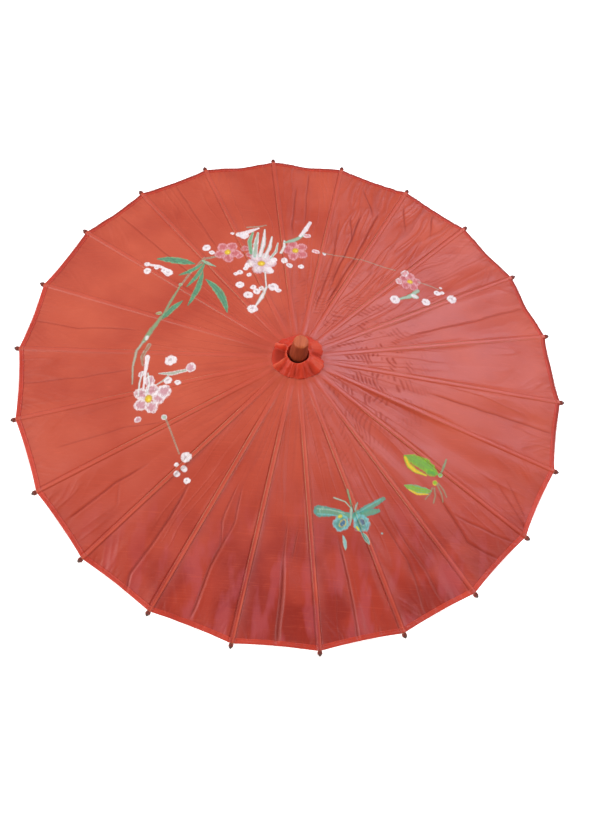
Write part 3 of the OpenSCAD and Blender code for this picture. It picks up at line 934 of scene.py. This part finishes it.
def make_tip(k, material):
    """Thread wound round the rib's tip outside the hem, and its knot."""
    radial, across = rib_axes(k)
    along = radial * cos(SLOPE) - np.array([0, 0, sin(SLOPE)])
    up = np.array([0, 0, cos(SLOPE)]) + radial * sin(SLOPE)
    base = hinge[0] * radial + np.array([0, 0, hinge[2]])
    length = (TIP_R - HINGE_R) / cos(SLOPE)
    turns, thread = 4.5, 0.5
    half_w, low, high = 2.85, -1.55, 3.3  # the coil's section, round the rib and its strip
    a = np.linspace(0, 2 * pi * turns, int(turns * 14))
    u = length - 7.2 + 3.4 * a / a[-1] + 0.15 * np.sin(3 * a + k)
    c, s = np.cos(a), np.sin(a)
    w = half_w * np.sign(c) * np.abs(c) ** 0.5
    h = (low + high) / 2 + (high - low) / 2 * np.sign(s) * np.abs(s) ** 0.6
    line = base + u[:, None] * along + w[:, None] * across + h[:, None] * up
    a = np.linspace(0, 2 * pi * 1.3, 20)
    knot = base + (length - 5.5 + 0.9 * np.cos(a))[:, None] * along
    knot += (1.2 * np.sin(a) + 0.4)[:, None] * across
    knot += (high + 0.4 + 0.5 * np.sin(a * 1.5))[:, None] * up
    parts = [tube(line, thread), tube(knot, thread)]
    return make_piece(f"tip_thread_{k:02d}", *join(parts), material, "tie_thread", True)


# ---- the collar

POCKET_AT = pi + 0.03
# Folds of the collar: azimuth, depth and half width
COLLAR_FOLDS = ((0.12, 2.6, 0.12), (-0.80, 2.6, 0.14), (-1.15, 1.0, 0.08), (-1.66, 2.2, 0.13),
                (-1.96, 0.9, 0.07), (-2.34, 1.9, 0.11), (2.52, 1.9, 0.12), (1.95, 0.9, 0.16),
                (1.15, 1.4, 0.18))


def collar_section(phi):
    """The collar's section at an azimuth, from the tie up to the lip and out to its edge.

    It comes as radii, heights over the hinges and painted light: painted shade in the pocket, the folds and
    under the lip, painted highlights on the lip, the pocket's walls and the lobes. On the side away from rib
    01
    the collar is open: a pocket between two walls.
    """
    fine = noise(phi * 11, 0.0, 33)
    pocket = exp(-(((phi - POCKET_AT) / 0.40) ** 6))
    wall = exp(-(((abs(phi - POCKET_AT) - 0.50) / 0.12) ** 2))
    dent = 0.0
    for at, depth, width in COLLAR_FOLDS:
        depth *= 1 - max(pocket, wall)
        off = (phi - at + pi) % (2 * pi) - pi
        dent += depth * exp(-abs(off) / width)
    away = 0.5 - 0.5 * cos(phi - 0.2)
    near = 0.5 - 0.5 * sin(phi)
    lip_r = 15.2 + 0.8 * noise(phi * 1.9 + 11, 0.0, 31) + 0.3 * fine + 2.2 * away + 0.6 * near
    lip_z = 15.5 + 4.0 * near - 1.5 * away + 1.2 * noise(phi * 1.7 + 4, 0.5, 34) + 0.5 * fine
    lobe = exp(-(((phi - 0.62) / 0.36) ** 2)) + exp(-(((phi - 2 * pi + 0.35) / 0.34) ** 2))
    out_r = 37.5 - 1.5 * near + 3.0 * lobe + 2.4 * noise(phi * 1.6 + 8, 1.5, 35) - 0.7 * dent + 0.8 * fine
    bulge = 1.2 * (1 - near)
    path = [(0.0, 11.9, 7.2), (0.12, 13.6, 7.7), (0.28, lip_r - 1.0, lip_z - 2.0),
            (0.33, lip_r - 0.3, lip_z - 0.3), (0.37, lip_r + 0.4, lip_z),
            (0.42, lip_r + 1.3, lip_z - 0.7), (0.60, lip_r + 7.0, 12.6 + 0.5 * bulge),
            (0.78, 29.5, 7.6 + bulge - 1.2 * away), (0.90, out_r - 2.0, 3.6 + bulge),
            (0.95, out_r, 2.0 + bulge), (1.0, out_r - 1.4, 0.9 + bulge)]
    s = np.linspace(0, 1, 34)
    stops, radii, heights = np.array(path).T
    r, z = np.interp(s, stops, radii), np.interp(s, stops, heights)
    body = smooth(s, 0.38, 0.66) * smooth(s, 1.0, 0.9)
    inner = smooth(s, 0.39, 0.45) * smooth(s, 0.985, 0.93)
    z += body * (0.9 - 1.25 * dent + 3.0 * lobe + 3.0 * wall)
    z = z - 8.5 * inner * pocket + smooth(s, 0.3, 0.4) * wall
    z += body * 0.30 * noise(phi * 12, s * 4, 37)
    r += body * 0.8 * noise(phi * 7, s * 3, 36)
    floor = crown_line(r) + 0.6
    # Painted shade inside the pocket, in the folds, and from the tie up under the lip.
    dark = inner * pocket * smooth(s, 1.02, 0.75) + 0.28 * dent * body * (0.6 + 0.6 * near)
    dark += 0.35 * smooth(s, 0.30, 0.1)
    # Painted highlights on the lip's edge, the pocket's walls and the lobes, taken away in the pocket and
    # folds.
    painted_highlight = 0.9 * crease(s - 0.37, 0.05) + 0.8 * wall * body + 0.6 * body * lobe
    painted_highlight = painted_highlight * (1 - pocket * inner) * smooth(dent, 1.5, 0)
    return r, np.maximum(z, np.where(s > 0.45, floor, -99)), dark - painted_highlight


def make_collar(k, material):
    """Rib k's share of the gathered collar: a doubled strip of cloth, tied at the neck and folded over."""
    lines, shade = [], []
    for phi in (k - 1) * STEP + np.linspace(-0.5, 0.5, 17) * STEP:
        # The section's third part is painted shade and painted highlight.
        r, z, painted_light = collar_section(phi % (2 * pi))
        lines.append(np.stack([r * cos(phi), r * sin(phi), z + HINGE_Z], 1))
        shade.append(np.clip(painted_light, -1, 1))
    points = np.stack(lines, 1)
    quads = grid_faces(*points.shape[:2])
    piece = make_piece(f"collar_{k:02d}", points, quads, material, "collar_cloth")
    add_shade(piece, np.stack(shade, 1))
    return piece, mesh_area(points, quads)


# ---- put together

# Each satin: light and dark tone, then its painted highlight colour, then for panels and strips its painted
# shade colour toward the front.
materials = {
    "panel": satin_material("red_satin", (0.58, 0.090, 0.038), (0.48, 0.058, 0.024), (0.60, 0.15, 0.13),
                            (0.43, 0.036, 0.014)),
    "strip": satin_material("rib_satin", (0.59, 0.088, 0.042), (0.51, 0.064, 0.030), (0.72, 0.125, 0.060),
                            (0.50, 0.050, 0.022)),
    "hem": satin_material("hem_cloth", (0.62, 0.062, 0.030), (0.50, 0.042, 0.020), (0.72, 0.09, 0.04),
                          gloss=0.4),
    "collar": satin_material("collar_cloth", (0.72, 0.058, 0.022), (0.58, 0.034, 0.013), (0.80, 0.13, 0.06),
                             gloss=0.25),
    "rim_thread": thread_material("rim_thread", (0.78, 0.62, 0.52), (0.50, 0.34, 0.26)),
    "tip_thread": thread_material("tie_thread", (0.36, 0.05, 0.025), (0.12, 0.02, 0.012)),
    "rib": bamboo_material("rib_bamboo", (0.60, 0.40, 0.20), (0.38, 0.22, 0.09), (0.50, 0.30, 0.13)),
    "stretcher": bamboo_material("stretcher_bamboo", (0.54, 0.35, 0.17), (0.34, 0.19, 0.08),
                                 (0.46, 0.27, 0.12)),
    "pole": wood_material("pole_wood", (0.56, 0.34, 0.16), (0.36, 0.19, 0.08), 0.45, 0.1),
    "turned": wood_material("turned_wood", (0.40, 0.17, 0.07), (0.20, 0.07, 0.025), 0.4, 0.3),
    "pin": bamboo_material("pin_bamboo", (0.60, 0.42, 0.22), (0.42, 0.26, 0.12), (0.50, 0.34, 0.16)),
    "wire": steel_material("steel_wire", (0.55, 0.54, 0.52), 0.3),
    "spring": steel_material("spring_steel", (0.50, 0.50, 0.52), 0.25),
    "head": head_material(),
}


def dress(node, material):
    ob = frame["nodes"][node]
    if not ob.material_slots:
        ob.data.materials.append(material)
    for place in ob.material_slots:
        place.material = material


for node, key in {
    "shaft": "pole", "grip": "turned", "top_notch": "head", "notch_pin": "pin", "notch_wire": "wire",
    "stop_pin": "pin", "catch_pin": "wire", "cap_tie": "tip_thread", "runner": "turned",
    "runner_wire": "wire", "catch": "spring",
}.items():
    dress(node, materials[key])

for k in range(1, RIBS + 1):
    rib = f"rib_{k:02d}"
    dress(rib, materials["rib"])
    dress(f"stretcher_{k:02d}", materials["stretcher"])

    cover, area = make_cover(k, materials["strip"])
    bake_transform(cover)
    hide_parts("canopy")

    for side in (1, -1):
        panel, width, length, area = make_panel(k, side, materials["panel"])
        hem, thread = make_hem(k, side, materials["hem"])
        anchor = cloth_point(k, side, 200.0, STRIP) * MM
        for piece in (panel, hem, thread):
            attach(piece, rib)
            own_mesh(piece)
        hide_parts("canopy")
        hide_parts("rim_hem")
        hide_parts("rim_thread")

    tip = make_tip(k, materials["tip_thread"])
    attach(tip, rib)

    collar, area = make_collar(k, materials["collar"])
    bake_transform(collar)
    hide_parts("crown_cap")


# ---- floor, light and camera


def make_floor():
    radius, sides = 30.0, 96
    turns = [2 * pi * i / sides for i in range(sides)]
    mesh = bpy.data.meshes.new("floor")
    mesh.from_pydata([(radius * cos(a), radius * sin(a), 0) for a in turns], [], [tuple(range(sides))])
    floor = in_scene("floor", mesh)
    n = Nodes("pale_floor")
    patch = n.grain(0.8, 2.0)
    colour = n.mix(patch, (0.92, 0.92, 0.92), (0.95, 0.95, 0.95))
    mesh.materials.append(n.surface(colour, 0.9, Emission_Color=(1, 1, 1, 1), Emission_Strength=0.85))
    floor.location.z = -0.001


def add_light(name, power, size, place, colour=(1, 1, 1)):
    """A soft light aimed at the parasol's middle."""
    data = bpy.data.lights.new(name, "AREA")
    data.energy, data.size, data.color = power, size, colour
    light = in_scene(name, data)
    light.location = place
    light.rotation_euler = (Vector((0, 0, 0.45)) - Vector(place)).to_track_quat("-Z", "Y").to_euler()


def set_light():
    world = bpy.data.worlds.new("studio")
    bpy.context.scene.world = world
    world.use_nodes = True
    colour, strength = world.node_tree.nodes["Background"].inputs[:2]
    colour.default_value, strength.default_value = (1, 1, 1, 1), 0.25
    add_light("window", 16, 3.0, (-2.2, 2.0, 2.2))
    add_light("gloss", 34, 1.2, (1.05, 1.35, 2.45), (0.86, 0.8, 1.0))
    add_light("key", 16, 0.5, (2.2, -0.5, 1.9))
    add_light("fill", 88, 3.0, (-2.6, -0.8, 2.2))
    bpy.context.scene.view_settings.view_transform = "Standard"


def set_camera():
    azimuth, elevation, distance, roll = radians(-6.8), radians(63.6), 1.342, radians(11.7)
    rim_z = (HINGE_Z - (TIP_R - HINGE_R) * tan(SLOPE)) * MM
    aim = Vector((-0.016, -0.061, rim_z))
    back = Vector((sin(azimuth) * cos(elevation), -cos(azimuth) * cos(elevation), sin(elevation)))
    right = Vector((0, 0, 1)).cross(back).normalized()
    up = back.cross(right)
    right, up = (right * cos(roll) + up * sin(roll), -right * sin(roll) + up * cos(roll))
    data = bpy.data.cameras.new("camera")
    data.lens, data.sensor_width, data.shift_x = 40.3, 36.0, 0.0242
    camera = in_scene("camera", data)
    place = aim + back * distance
    camera.matrix_world = Matrix((
        (right.x, up.x, back.x, place.x), (right.y, up.y, back.y, place.y),
        (right.z, up.z, back.z, place.z), (0, 0, 0, 1),
    ))
    bpy.context.scene.camera = camera


make_floor()
set_light()
set_camera()
